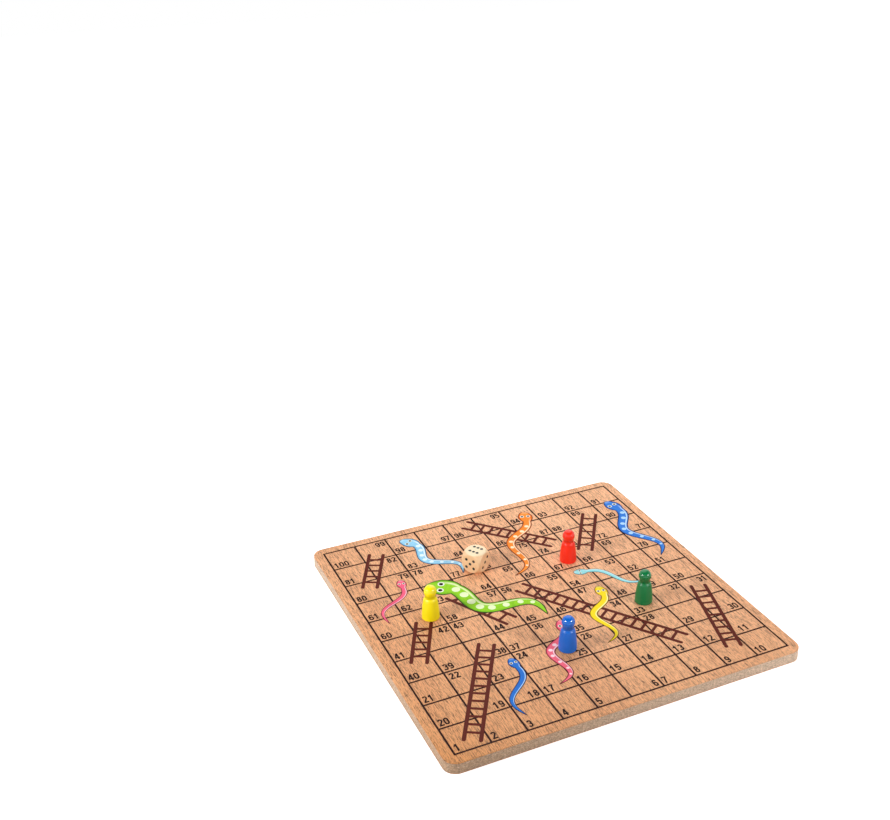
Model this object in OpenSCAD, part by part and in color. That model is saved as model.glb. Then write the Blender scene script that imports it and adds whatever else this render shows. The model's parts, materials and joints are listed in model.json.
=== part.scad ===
// Snakes and ladders board with its four pawns and its die.
// The origin is the middle of the board's underside. X runs along the rows of squares,
// Y away from the player at row 1, and Z up. Lengths are in millimetres.

/* [Board] */
// Side of one square of the grid
cell = 23.5; // [20:0.5:32]
// Bare wood between the grid and the edge of the board
margin = 7.5; // [5:0.5:16]
// Radius of the board's corners, seen from above
corner_r = 8.5; // [4:0.5:12]
// Thickness of the fibreboard core
core_t = 7; // [4:0.5:12]
// Thickness of each face veneer
veneer_t = 0.6; // [0.5:0.1:1.2]
// Radius that eases the outer edge of each veneer
edge_r = 0.4; // [0.1:0.05:0.45]

/* [Print] */
// Thickness of the printed ink
ink_t = 0.1; // [0.05:0.05:0.2]
// Width of a grid line
line_w = 1.2; // [0.5:0.1:1.6]
// Distance between the middles of a ladder's two rails
ladder_w = 10; // [8:0.5:12]
// Width of a ladder's rail
rail_w = 2.5; // [1.4:0.1:3]
// Width of a ladder's rung
rung_w = 2; // [0.8:0.1:2.4]
// Length of rail past the first and the last rung
rail_end = 6.6; // [4:0.2:8]

/* [Pawns] */
// Height of a pawn
pawn_h = 25; // [23:0.5:30]
// Diameter of its base
pawn_d = 12; // [11:0.5:15]
// Diameter of its ball head
pawn_head_d = 8.7; // [7.9:0.1:9]
// Diameter of its neck
pawn_neck_d = 7.5; // [6.4:0.1:7.6]
// Diameter where its side turns in to the shoulder
pawn_shoulder_d = 9.2; // [8.8:0.1:10.4]
// Height at which its side turns in to the shoulder
pawn_shoulder_z = 14.5; // [12:0.5:15]
// Thickness of the moulded wall round the core
pawn_wall = 1.6; // [1:0.1:2]

/* [Die] */
// Side of the die
die_s = 15.5; // [14:0.5:20]
// Radius of its edges
die_edge_r = 1.6; // [1:0.1:3]
// Diameter of a pip
pip_d = 2.2; // [1.2:0.1:2.4]
// Depth of a pip
pip_deep = 0.5; // [0.3:0.05:0.7]
// Thickness of the paint in a pip
paint_t = 0.15; // [0.05:0.05:0.2]
// Distance of a pip from the middle row of its face
pip_pitch = 3; // [2.6:0.1:3.6]

/* [Hidden] */
$fn = 48;

// The game has ten rows of ten squares
squares = 10;
grid_s = squares * cell;
board_s = grid_s + 2 * margin;
board_t = core_t + 2 * veneer_t;
// Pieces stand on the face of the ink
play_z = board_t + ink_t;
// Overrun of every cut past the face that it opens
overrun = 1;

// Places on the board are shares of a square, counted from the grid's near left corner
function place(share) = cell * (share - [squares, squares] / 2);

// Ladders: foot, top and number of rungs
ladder_shares = [
    [[0.60, 0.28], [2.57, 3.64], 12],
    [[8.66, 0.64], [9.46, 3.52], 9],
    [[7.62, 1.52], [4.65, 5.73], 16],
    [[0.59, 3.69], [1.40, 5.32], 5],
    [[3.68, 4.36], [2.65, 6.25], 5],
    [[7.43, 6.72], [8.62, 8.55], 5],
    [[6.71, 7.50], [4.67, 9.69], 9],
    [[0.65, 7.65], [1.45, 9.26], 5]
];

// Snakes: nose, tip of the tail, width of the body, width of the head, sideways swing, waves
snake_shares = [
    [[2.14, 7.02], [4.76, 4.16], 0.58, 0.64, 0.42, 1.5],
    [[2.45, 9.75], [3.45, 7.15], 0.33, 0.40, 0.30, 1.5],
    [[9.55, 9.05], [9.38, 5.42], 0.36, 0.43, 0.34, 1.5],
    [[6.77, 9.62], [4.80, 6.35], 0.32, 0.41, 0.32, 1.5],
    [[4.97, 3.76], [3.55, 1.25], 0.29, 0.37, 0.30, 1.5],
    [[6.78, 4.78], [5.60, 2.25], 0.25, 0.33, 0.30, 1.5],
    [[1.62, 7.62], [0.54, 5.66], 0.18, 0.27, 0.30, 1.0],
    [[6.48, 5.76], [8.40, 4.50], 0.18, 0.27, 0.30, 1.0],
    [[2.90, 2.80], [2.25, 0.50], 0.20, 0.28, 0.30, 1.0]
];
// The first snakes in the list are stout enough to carry a row of pale spots
spotted = 5;
spots = 8;
// Where along a snake its spots run, from nose to tail
spots_from_share = 0.24;
spots_to_share = 0.84;
// Width of a spot, of the body round it
spot_share = 0.46;
// Length of a head, of its width
head_long_share = 1.45;
// Width of the neck, and how far along the body it swells to the full width
neck_share = 0.62;
swell_share = 0.34;
// Eyes: their width, and their distance from the middle, of the head's width
eye_share = 0.20;
eye_side_share = 0.25;
// Stations along a snake's outline
stations = 88;

// Pawns and die: where they stand, and how the die is turned
pawn_yellow_share = [1.69, 5.49];
pawn_red_share = [6.65, 6.42];
pawn_green_share = [7.57, 3.54];
pawn_blue_share = [4.49, 2.51];
die_share = [3.91, 7.23];
die_turn = -57;
// The ball that takes off the die's corners, as a share of the die's side
die_ball_share = 1.34;

// Rounding at a pawn's foot, over its shoulder and into its neck
foot_r = 0.8;
shoulder_r = 1.6;
neck_fillet_r = 1.2;
arc_steps = 8;

// Points of a round stretch of outline
function arc(middle, r, from, to, steps = arc_steps) = [
    for (i = [0:steps])
        let (a = from + (to - from) * i / steps)
        middle + r * [cos(a), sin(a)]
];

// Outline of the board, drawn in by a width all round
module board_outline(inset = 0) {
    side = board_s - 2 * inset;
    r = corner_r - inset;
    reach = side / 2 - r;
    square([side, side - 2 * r], center = true);
    square([side - 2 * r, side], center = true);
    for (x = [-reach, reach])
        for (y = [-reach, reach])
            translate([x, y])
                circle(r);
}

// Half of a veneer's section from the middle of a span, with its top outer edge eased
module veneer_section(half) {
    difference() {
        square([half, veneer_t]);
        translate([half - edge_r, veneer_t - edge_r])
            difference() {
                square(edge_r + overrun);
                circle(edge_r);
            }
    }
}

// A veneer lying face up on z = 0, its outer edge eased all round
module veneer() {
    reach = board_s / 2 - corner_r;
    for (turn = [0, 90])
        rotate(turn)
            for (flip = [0, 180])
                rotate(flip)
                    translate([0, reach, 0])
                        rotate([90, 0, 0])
                            linear_extrude(2 * reach)
                                veneer_section(board_s / 2);
    for (x = [-reach, reach])
        for (y = [-reach, reach])
            translate([x, y, 0])
                rotate_extrude()
                    veneer_section(corner_r);
}

module board_core() {
    color("tan")
        translate([0, 0, veneer_t])
            linear_extrude(core_t)
                board_outline();
}

module top_veneer() {
    color("burlywood")
        translate([0, 0, veneer_t + core_t])
            veneer();
}

module bottom_veneer() {
    color("burlywood")
        translate([0, 0, veneer_t])
            mirror([0, 0, 1])
                veneer();
}

// Ink laid on the top veneer
module print_ink() {
    translate([0, 0, board_t])
        linear_extrude(ink_t)
            children();
}

// Outline of one ladder: two rails with round ends, and evenly spaced rungs
module ladder_outline(i) {
    foot = place(ladder_shares[i][0]);
    top = place(ladder_shares[i][1]);
    rungs = ladder_shares[i][2];
    long = norm(top - foot);
    lean = atan2(top[1] - foot[1], top[0] - foot[0]);
    gap = (long - 2 * rail_end) / (rungs - 1);
    translate(foot)
        rotate(lean) {
            for (y = [-ladder_w / 2, ladder_w / 2])
                translate([0, y]) {
                    translate([0, -rail_w / 2])
                        square([long, rail_w]);
                    for (x = [0, long])
                        translate([x, 0])
                            circle(rail_w / 2);
                }
            for (k = [0:rungs - 1])
                translate([rail_end + k * gap - rung_w / 2, -ladder_w / 2])
                    square([rung_w, ladder_w]);
        }
}

// The middle line of snake i, at a share s of the way from nose to tail: waves that grow
// from nothing at the nose, so that the head lies straight
function spine(i, s) =
    let (
        nose = place(snake_shares[i][0]),
        tip = place(snake_shares[i][1]),
        along = tip - nose,
        side = [-along[1], along[0]] / norm(along),
        swing = cell * snake_shares[i][4] * (1 - pow(1 - s, 3))
    )
    nose + s * along + side * swing * sin(360 * snake_shares[i][5] * s);

// Unit vector across snake i at s
function across(i, s) =
    let (
        step_share = 0.001,
        along = spine(i, s + step_share) - spine(i, s - step_share)
    )
    [-along[1], along[0]] / norm(along);

// Share of the way from nose to tail at which the head of snake i is widest
function head_mid(i) =
    let (long = norm(snake_shares[i][1] - snake_shares[i][0]))
    head_long_share * snake_shares[i][3] / long / 2;

// Half the width of snake i at s: an oval head, a neck, and a body that swells and tapers
function half_width(i, s) =
    let (
        mid = head_mid(i),
        off = (s - mid) / mid,
        head = off < 1 ? snake_shares[i][3] / 2 * sqrt(max(0, 1 - off * off)) : 0,
        grow = min(1, s / swell_share),
        swell = neck_share + (1 - neck_share) * sin(90 * grow),
        body = min(1, s / mid) * snake_shares[i][2] / 2 * swell * pow(1 - s * s * s, 0.7)
    )
    cell * norm([head, body]);

// Stations crowd together at the nose, where the outline turns fastest
function station(k) = pow(k / stations, 1.5);

module snake_outline(i) {
    left = [
        for (k = [0:stations])
            let (s = station(k))
            spine(i, s) + across(i, s) * half_width(i, s)
    ];
    right = [
        for (k = [stations - 1:-1:1])
            let (s = station(k))
            spine(i, s) - across(i, s) * half_width(i, s)
    ];
    polygon(concat(left, right));
}

module snake_outlines() {
    for (i = [0:len(snake_shares) - 1])
        snake_outline(i);
}

// Pale spots down the back of snake i
module spot_outlines(i) {
    if (i < spotted)
        for (k = [0:spots - 1]) {
            s = spots_from_share + (spots_to_share - spots_from_share) * k / (spots - 1);
            translate(spine(i, s))
                circle(half_width(i, s) * spot_share);
        }
}

// Two eyes on the head of snake i
module eye_outlines(i) {
    s = head_mid(i);
    head_w = cell * snake_shares[i][3];
    for (way = [-1, 1])
        translate(spine(i, s) + across(i, s) * way * head_w * eye_side_share)
            circle(head_w * eye_share / 2);
}

// The grid, printed round the ladders and the snakes
module grid_print() {
    color("saddlebrown")
        print_ink()
            difference() {
                for (k = [0:squares]) {
                    at = k * cell - grid_s / 2;
                    translate([at, 0])
                        square([line_w, grid_s + line_w], center = true);
                    translate([0, at])
                        square([grid_s + line_w, line_w], center = true);
                }
                for (i = [0:len(ladder_shares) - 1])
                    ladder_outline(i);
                snake_outlines();
            }
}

// A ladder, printed round any snake that crosses it
module ladder(i) {
    color("maroon")
        print_ink()
            difference() {
                ladder_outline(i);
                snake_outlines();
            }
}

module ladder_1_to_38() ladder(0);
module ladder_9_to_31() ladder(1);
module ladder_13_to_55() ladder(2);
module ladder_41_to_59() ladder(3);
module ladder_44_to_63() ladder(4);
module ladder_72_to_89() ladder(5);
module ladder_74_to_95() ladder(6);
module ladder_80_to_99() ladder(7);

// A snake's body colour, printed round its spots and eyes
module snake(i) {
    print_ink()
        difference() {
            snake_outline(i);
            spot_outlines(i);
            eye_outlines(i);
        }
}

module snake_green() color("yellowgreen") snake(0);
module snake_sky() color("skyblue") snake(1);
module snake_royal() color("royalblue") snake(2);
module snake_orange() color("darkorange") snake(3);
module snake_rose() color("palevioletred") snake(4);
module snake_yellow() color("gold") snake(5);
module snake_pink() color("hotpink") snake(6);
module snake_aqua() color("paleturquoise") snake(7);
module snake_navy() color("steelblue") snake(8);

module snake_spots() {
    color("white")
        print_ink()
            for (i = [0:spotted - 1])
                spot_outlines(i);
}

module snake_eyes() {
    color("black")
        print_ink()
            for (i = [0:len(snake_shares) - 1])
                eye_outlines(i);
}

// Half of a pawn's outline: rounded foot, bulging side, shoulder, neck and ball head
function pawn_outline() =
    let (
        base_r = pawn_d / 2,
        head_r = pawn_head_d / 2,
        neck_r = pawn_neck_d / 2,
        draw_in = base_r - pawn_shoulder_d / 2,
        rise = pawn_shoulder_z - foot_r,
        side_r = (rise * rise + draw_in * draw_in) / (2 * draw_in),
        side_a = asin(rise / side_r),
        shoulder = [pawn_shoulder_d / 2, pawn_shoulder_z],
        shoulder_c = shoulder - shoulder_r * [cos(side_a), sin(side_a)],
        crest = acos((neck_r + neck_fillet_r - shoulder_c[0]) / (shoulder_r + neck_fillet_r)),
        fillet_c = shoulder_c + (shoulder_r + neck_fillet_r) * [cos(crest), sin(crest)],
        head_c = [0, pawn_h - head_r]
    )
    concat(
        [[0, 0]],
        arc([base_r - foot_r, foot_r], foot_r, -90, 0),
        arc([base_r - side_r, foot_r], side_r, side_a / arc_steps, side_a, arc_steps - 1),
        arc(shoulder_c, shoulder_r, side_a + (crest - side_a) / arc_steps, crest, arc_steps - 1),
        arc(fillet_c, neck_fillet_r, 180 + crest * (1 - 1 / arc_steps), 180, arc_steps - 1),
        arc(head_c, head_r, -acos(neck_r / head_r), 90, 2 * arc_steps)
    );

// A pawn standing on z = 0, cored from below as a moulding is
module pawn_shell() {
    core_deep = pawn_shoulder_z - pawn_wall;
    difference() {
        rotate_extrude()
            polygon(pawn_outline());
        translate([0, 0, -overrun])
            cylinder(h = overrun, d = pawn_d - 2 * pawn_wall);
        cylinder(
            h = core_deep,
            d1 = pawn_d - 2 * pawn_wall,
            d2 = pawn_shoulder_d - 2 * pawn_wall
        );
    }
}

module pawn_at(share) {
    at = place(share);
    translate([at[0], at[1], play_z])
        pawn_shell();
}

module pawn_yellow() color("yellow") pawn_at(pawn_yellow_share);
module pawn_red() color("red") pawn_at(pawn_red_share);
module pawn_green() color("green") pawn_at(pawn_green_share);
module pawn_blue() color("blue") pawn_at(pawn_blue_share);

// A cube about the origin with round edges
module rounded_cube(side, r) {
    reach = side / 2 - r;
    cube([side, 2 * reach, 2 * reach], center = true);
    cube([2 * reach, side, 2 * reach], center = true);
    cube([2 * reach, 2 * reach, side], center = true);
    for (turn = [[0, 0, 0], [90, 0, 0], [0, 90, 0]])
        rotate(turn)
            for (x = [-reach, reach])
                for (y = [-reach, reach])
                    translate([x, y, 0])
                        cylinder(h = 2 * reach, r = r, center = true);
    for (x = [-reach, reach])
        for (y = [-reach, reach])
            for (z = [-reach, reach])
                translate([x, y, z])
                    sphere(r);
}

// The ball that a pip is a cap of, standing out of the face by what isn't in the wood
pip_ball_r = (pip_d * pip_d / 4 + pip_deep * pip_deep) / (2 * pip_deep);

// Where the pips of each number lie on their face, in steps of the pip pitch
pip_steps = [
    [[0, 0]],
    [[-1, -1], [1, 1]],
    [[-1, 1], [0, 0], [1, -1]],
    [[-1, -1], [-1, 1], [1, -1], [1, 1]],
    [[-1, -1], [-1, 1], [0, 0], [1, -1], [1, 1]],
    [[-1, -1], [0, -1], [1, -1], [-1, 1], [0, 1], [1, 1]]
];
// The turn that brings each number's face upwards; opposite faces add up to seven
face_turns = [[180, 0, 0], [-90, 0, 0], [0, 90, 0], [0, -90, 0], [90, 0, 0], [0, 0, 0]];

// Something at every pip, with z = 0 on the face of the die
module at_pips() {
    for (n = [0:5])
        rotate(face_turns[n])
            for (p = pip_steps[n])
                translate([p[0] * pip_pitch, p[1] * pip_pitch, die_s / 2])
                    children();
}

module die_place() {
    at = place(die_share);
    translate([at[0], at[1], play_z + die_s / 2])
        rotate(die_turn)
            children();
}

module die() {
    color("wheat")
        die_place()
            difference() {
                intersection() {
                    rounded_cube(die_s, die_edge_r);
                    sphere(d = die_s * die_ball_share);
                }
                at_pips()
                    translate([0, 0, pip_ball_r - pip_deep])
                        sphere(pip_ball_r);
            }
}

// Paint that lines each pip
module die_pips() {
    color("black")
        die_place()
            at_pips()
                difference() {
                    translate([0, 0, pip_ball_r - pip_deep])
                        sphere(pip_ball_r);
                    translate([0, 0, pip_ball_r - pip_deep + paint_t])
                        sphere(pip_ball_r);
                    cylinder(h = 2 * pip_ball_r, r = pip_ball_r + overrun);
                }
}

board_core();
top_veneer();
bottom_veneer();
grid_print();
ladder_1_to_38();
ladder_9_to_31();
ladder_13_to_55();
ladder_41_to_59();
ladder_44_to_63();
ladder_72_to_89();
ladder_74_to_95();
ladder_80_to_99();
snake_green();
snake_sky();
snake_royal();
snake_orange();
snake_rose();
snake_yellow();
snake_pink();
snake_aqua();
snake_navy();
snake_spots();
snake_eyes();
pawn_yellow();
pawn_red();
pawn_green();
pawn_blue();
die();
die_pips();
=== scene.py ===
# %% [markdown]
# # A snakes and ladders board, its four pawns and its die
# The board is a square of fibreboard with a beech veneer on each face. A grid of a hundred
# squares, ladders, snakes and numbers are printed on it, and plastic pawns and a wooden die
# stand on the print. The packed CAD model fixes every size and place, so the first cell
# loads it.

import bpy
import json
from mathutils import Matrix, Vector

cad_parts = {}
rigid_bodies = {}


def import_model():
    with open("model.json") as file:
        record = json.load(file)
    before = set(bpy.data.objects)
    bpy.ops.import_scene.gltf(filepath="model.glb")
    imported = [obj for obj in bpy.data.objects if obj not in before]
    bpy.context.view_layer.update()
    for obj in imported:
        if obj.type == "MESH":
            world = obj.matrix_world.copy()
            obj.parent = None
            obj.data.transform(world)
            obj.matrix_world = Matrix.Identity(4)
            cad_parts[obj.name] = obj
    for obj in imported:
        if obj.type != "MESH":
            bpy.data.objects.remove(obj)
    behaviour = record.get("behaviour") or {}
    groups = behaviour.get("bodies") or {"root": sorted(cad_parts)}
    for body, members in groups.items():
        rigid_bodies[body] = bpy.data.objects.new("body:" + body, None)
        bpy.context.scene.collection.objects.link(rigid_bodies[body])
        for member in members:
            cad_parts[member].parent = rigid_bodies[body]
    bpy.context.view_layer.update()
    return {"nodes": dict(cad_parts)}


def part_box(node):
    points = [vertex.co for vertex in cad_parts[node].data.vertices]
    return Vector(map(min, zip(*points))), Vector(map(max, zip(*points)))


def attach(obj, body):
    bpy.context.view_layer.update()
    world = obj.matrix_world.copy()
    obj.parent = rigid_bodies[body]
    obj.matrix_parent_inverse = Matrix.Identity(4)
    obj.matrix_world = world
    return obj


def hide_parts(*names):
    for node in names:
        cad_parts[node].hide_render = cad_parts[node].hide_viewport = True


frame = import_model()
nodes = frame["nodes"]

# %% [markdown]
# ## The camera
# The photograph looks down on the board from its near left side, at about 26 degrees. The
# view was solved from the 121 crossings of the printed grid, so the lens, the place and the
# aim are known well. A small sideways shift stands for the part of the picture that was cut
# away. A quaternion that tracks the aim keeps the camera level.

# %% Camera
import bpy
from mathutils import Vector

scene = bpy.context.scene


def add_to_scene(name, data):
    """A new object that holds this data, in the scene."""
    thing = bpy.data.objects.new(name, data)
    scene.collection.objects.link(thing)
    return thing


camera = add_to_scene("board_camera", bpy.data.cameras.new("board_camera"))
camera.location = (-0.3257, -0.6053, 0.4764)
gaze = Vector((0.1034, 0.2832, 0.0082)) - camera.location
camera.rotation_euler = gaze.to_track_quat("-Z", "Y").to_euler()
camera.data.sensor_width = 36.0
camera.data.lens = 48.35
camera.data.shift_x = -0.0596
camera.data.clip_start = 0.01
scene.camera = camera
print("camera is", round(gaze.length, 3), "m from its aim")

# %% [markdown]
# ## Measures of the board
# Everything on the face is placed by squares, counted from the near left corner of the
# grid, as the printer's drawing would be. The heights come from the CAD model's own boxes,
# so that ink and pieces stay on the wood if the thickness changes.

# %% Measures
MM = 0.001
SQUARE = 23.5 * MM
ROWS = 10
WOOD_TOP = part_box("top_veneer")[1].z
INK_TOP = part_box("grid_print")[1].z
FILM = INK_TOP - WOOD_TOP


def on_board(across, up, height=0.0):
    """A point in metres, from squares across and up from the grid's near left corner."""
    half = ROWS / 2
    return Vector(((across - half) * SQUARE, (up - half) * SQUARE, height))


print("wood at", round(WOOD_TOP / MM, 2), "mm, ink at", round(INK_TOP / MM, 2), "mm")

# %% [markdown]
# ## Writing nodes as Python
# Grain, ink and plastic are sums and products of a few textures. Node by node that is long
# to read, so a term wraps an output socket and lets Python's own operators add Math nodes,
# and a recipe adds any other node. They serve materials and Geometry Nodes alike, because
# both kinds of tree share the Math node.

# %% Terms and recipes
def operator(operation, flipped=False):
    """A method of a term that adds one Math node."""
    def method(self, other):
        terms = (other, self) if flipped else (self, other)
        return self.recipe.math(operation, *terms)
    return method


class Term:
    """An output of a node, on which + - * / ** and abs() add Math nodes."""

    def __init__(self, recipe, socket):
        self.recipe = recipe
        self.socket = socket

    __add__, __radd__ = operator("ADD"), operator("ADD", flipped=True)
    __sub__, __rsub__ = operator("SUBTRACT"), operator("SUBTRACT", flipped=True)
    __mul__, __rmul__ = operator("MULTIPLY"), operator("MULTIPLY", flipped=True)
    __truediv__, __rtruediv__ = operator("DIVIDE"), operator("DIVIDE", flipped=True)
    __pow__ = operator("POWER")

    def __abs__(self):
        return self.recipe.math("ABSOLUTE", self)


class Recipe:
    """A node tree being written."""

    def __init__(self, tree):
        self.tree = tree

    def feed(self, socket, value):
        """Link a term to a socket, or set its value."""
        if isinstance(value, Term):
            self.tree.links.new(value.socket, socket)
        else:
            socket.default_value = value

    def node(self, kind, settings=None, sockets=None, output=0):
        """Add a node: its settings first, then its sockets. Hands back one output."""
        made = self.tree.nodes.new(kind)
        for name, value in (settings or {}).items():
            setattr(made, name, value)
        for name, value in (sockets or {}).items():
            self.feed(made.inputs[name], value)
        return Term(self, made.outputs[output])

    def math(self, operation, *terms):
        return self.node("ShaderNodeMath", {"operation": operation}, dict(enumerate(terms)))

    def vector(self, operation, *terms, output=0):
        return self.node("ShaderNodeVectorMath", {"operation": operation},
                         dict(enumerate(terms)), output)

    def ease(self, value, low, high):
        """0 below low, 1 above high, with a soft step between."""
        return self.node("ShaderNodeMapRange", {"interpolation_type": "SMOOTHSTEP"},
                         {"Value": value, "From Min": low, "From Max": high})

    def point(self, x=0.0, y=0.0, z=0.0):
        """A point or a direction from its x, y and z."""
        return self.node("ShaderNodeCombineXYZ", sockets={0: x, 1: y, 2: z})

    def axes(self, point):
        """The x, y and z of a point, as three terms."""
        split = self.node("ShaderNodeSeparateXYZ", sockets={0: point})
        return [Term(self, part) for part in split.socket.node.outputs]


print("operators wrapped:", [name for name in vars(Term) if name[:2] == "__"])

# %% [markdown]
# ## Finishes
# A finish is one material with its Principled shader. Its colours are written as they look
# on screen, from 0 to 255, and turned into the linear values that Blender mixes.

# %% Colours
def shade(red, green, blue):
    """A colour as seen on screen, 0 to 255, as Blender's linear red, green, blue, alpha."""
    linear = []
    for level in (red, green, blue):
        seen = level / 255
        linear.append(seen / 12.92 if seen <= 0.04045 else ((seen + 0.055) / 1.055) ** 2.4)
    return (*linear, 1.0)


print("a middle grey is", round(shade(128, 128, 128)[0], 3), "in linear light")

# %% [markdown]
# ## Words for finishes
# These methods say in a word what finishes need often: millimetres from a centre, a mix
# of two colours, a noise stretched along the grain.

# %% Words for finishes
class Finish(Recipe):
    """A material for one of the object's surfaces."""

    def __init__(self, name, gloss=0.5):
        self.material = bpy.data.materials.new(name)
        self.material.use_nodes = True
        super().__init__(self.material.node_tree)
        self.shader = self.tree.nodes["Principled BSDF"]
        self.shader.inputs["Specular IOR Level"].default_value = gloss

    def set(self, **values):
        """Feed the Principled shader: base_color=..., roughness=..., normal=..."""
        for name, value in values.items():
            self.feed(self.shader.inputs[name.replace("_", " ").title()], value)

    def millimetres(self, centre=(0, 0, 0), turn=0.0):
        """Millimetres from a centre, turned about z by an angle."""
        place = self.node("ShaderNodeTexCoord", output="Object")
        return self.node("ShaderNodeMapping", {"vector_type": "TEXTURE"},
                         {"Vector": place, "Location": centre,
                          "Rotation": (0, 0, turn), "Scale": (MM, MM, MM)})

    def stretch(self, point, *lengths):
        """Coordinates divided by a length along each axis."""
        return self.vector("MULTIPLY", point, tuple(1 / length for length in lengths))

    def noise(self, point, *lengths, detail=2.0, rough=0.5):
        """Noise whose blobs are about these lengths in millimetres, 0 to 1."""
        return self.node("ShaderNodeTexNoise", {},
                         {"Vector": self.stretch(point, *lengths), "Scale": 1.0,
                          "Detail": detail, "Roughness": rough})

    def dashes(self, point, *lengths, share, thin=0.10, thick=0.26):
        """Short marks, one to a cell of these lengths, on a share of the cells."""
        cells = self.node("ShaderNodeTexVoronoi", {"voronoi_dimensions": "2D"},
                          {"Vector": self.stretch(point, *lengths, 1), "Scale": 1.0})
        tint = Term(self, cells.socket.node.outputs["Color"])
        lot = self.node("ShaderNodeSeparateColor", sockets={0: tint})
        chosen = self.ease(lot, 1 - share, 1 - share + 0.25)
        return (1 - self.ease(cells, thin, thick)) * chosen

    def blend(self, mask, under, over):
        """One colour over another, by a mask."""
        return self.node("ShaderNodeMix", {"data_type": "RGBA"},
                         {0: mask, 6: under, 7: over}, output=2)

    def tint(self, colour, level):
        """A colour made lighter or darker by a number."""
        return self.node("ShaderNodeVectorMath", {"operation": "SCALE"},
                         {0: colour if isinstance(colour, Term) else colour[:3],
                          "Scale": level})

    def relief(self, height, depth):
        """Bump: a height of 0 to 1 that stands for this many metres."""
        return self.node("ShaderNodeBump", {}, {"Height": height, "Distance": depth})


print("words for finishes:", [name for name in vars(Finish) if name[0] != "_"])

# %% [markdown]
# ## Beech veneer
# Beech is a plain pinkish tan, and what gives it away is its figure: dark fibres and flecks
# a few millimetres long on a lighter ground, all running with the grain. Sliced veneer also
# has faint streaks and broad soft bands. So the recipe stacks these scales of pattern along
# Y. It also drifts from a deeper brown at the near left corner to a paler, pinker one at the
# far right: partly the veneer's own tone and partly painted light that brightens the far rows.
# The grain is a helper of its own, because ink lets it show through.

# %% Grain of beech
GRAIN_WAVER = 7


def beech_grain(finish, point):
    """The wood's pattern at a point, in parts that each run from 0 to 1."""
    x, y, z = finish.axes(point)
    drift = finish.noise(point, 70, 170, 70) - 0.5
    run = finish.point(x + drift * GRAIN_WAVER, y, z)
    return {
        "bands": finish.noise(run, 17, 190, 17, detail=3.0),
        "streaks": finish.noise(run, 1.5, 42, 1.5, detail=4.0, rough=0.6),
        "fibres": finish.noise(run, 0.42, 6.5, 0.42, rough=0.7),
        "flecks": finish.dashes(run, 0.65, 4.2, thin=0.12, thick=0.32, share=0.80),
        "pores": finish.dashes(finish.stretch(run, 1.3, 0.7, 1), 0.5, 2.4, share=0.60),
    }


print("grain runs along Y and wavers by", GRAIN_WAVER / 2, "mm to each side")

# %% [markdown]
# ## The veneer's finish
# Colour comes from bands and streaks, depth from dark fibres, flecks and pores, and a thin
# lacquer lies over all. The board's outer edge was rubbed with fine paper, so a line round
# it is a touch darker. `dress` hands a finish to a node of the CAD.

# %% Beech veneer
GRID_SIDE = ROWS * SQUARE / MM
BOARD_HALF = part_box("board_core")[1].x / MM
CORNER_RADIUS = 8.5
CORNER_REACH = BOARD_HALF - CORNER_RADIUS


def dress(node, finish):
    """Give a CAD node a finish in every slot, and leave its mesh as it is."""
    shape = nodes[node]
    if not shape.material_slots:
        shape.data.materials.append(finish.material)
    for slot in shape.material_slots:
        slot.material = finish.material
    print("dressed", node, "in", finish.material.name)


def beech_finish(name, dark, light, lit_far_dark, lit_far_light):
    finish = Finish(name, gloss=0.42)
    point = finish.millimetres()
    grain = beech_grain(finish, point)
    x, y, _ = finish.axes(point)
    tone = finish.ease(grain["bands"] * 0.55 + grain["streaks"] * 0.45, 0.30, 0.70)
    # Painted light: the wood turns paler and pinker towards the far right corner, partly its own
    # tone.
    across = finish.math("MAXIMUM", (x + y) / (2 * GRID_SIDE) + 0.5, 0.0) ** 0.65
    wood = finish.blend(across, finish.blend(tone, dark, light),
                        finish.blend(tone, lit_far_dark, lit_far_light))
    dark_fibres = finish.ease(grain["fibres"], 0.44, 0.70)
    level = 1.40 - dark_fibres * 0.90 - grain["flecks"] * 0.52 - grain["pores"] * 0.34
    out_x = finish.math("MAXIMUM", abs(x) - CORNER_REACH, 0.0)
    out_y = finish.math("MAXIMUM", abs(y) - CORNER_REACH, 0.0)
    outside = (out_x * out_x + out_y * out_y) ** 0.5 - CORNER_RADIUS
    sanded = finish.ease(outside, -0.55, -0.15)
    finish.set(base_color=finish.tint(wood, level * (1 - sanded * 0.05)),
               roughness=0.50 + grain["streaks"] * 0.10 + grain["flecks"] * 0.08,
               normal=finish.relief(grain["fibres"] * 0.5 - grain["flecks"] * 0.6, 0.00004))
    return finish


# The front colours come first, then the far right's paler ones, which hold painted light.
beech = beech_finish("beech_veneer", shade(175, 112, 63), shade(192, 132, 77),
                     shade(214, 159, 118), shade(227, 174, 136))
dress("top_veneer", beech)
dress("bottom_veneer", beech)
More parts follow.
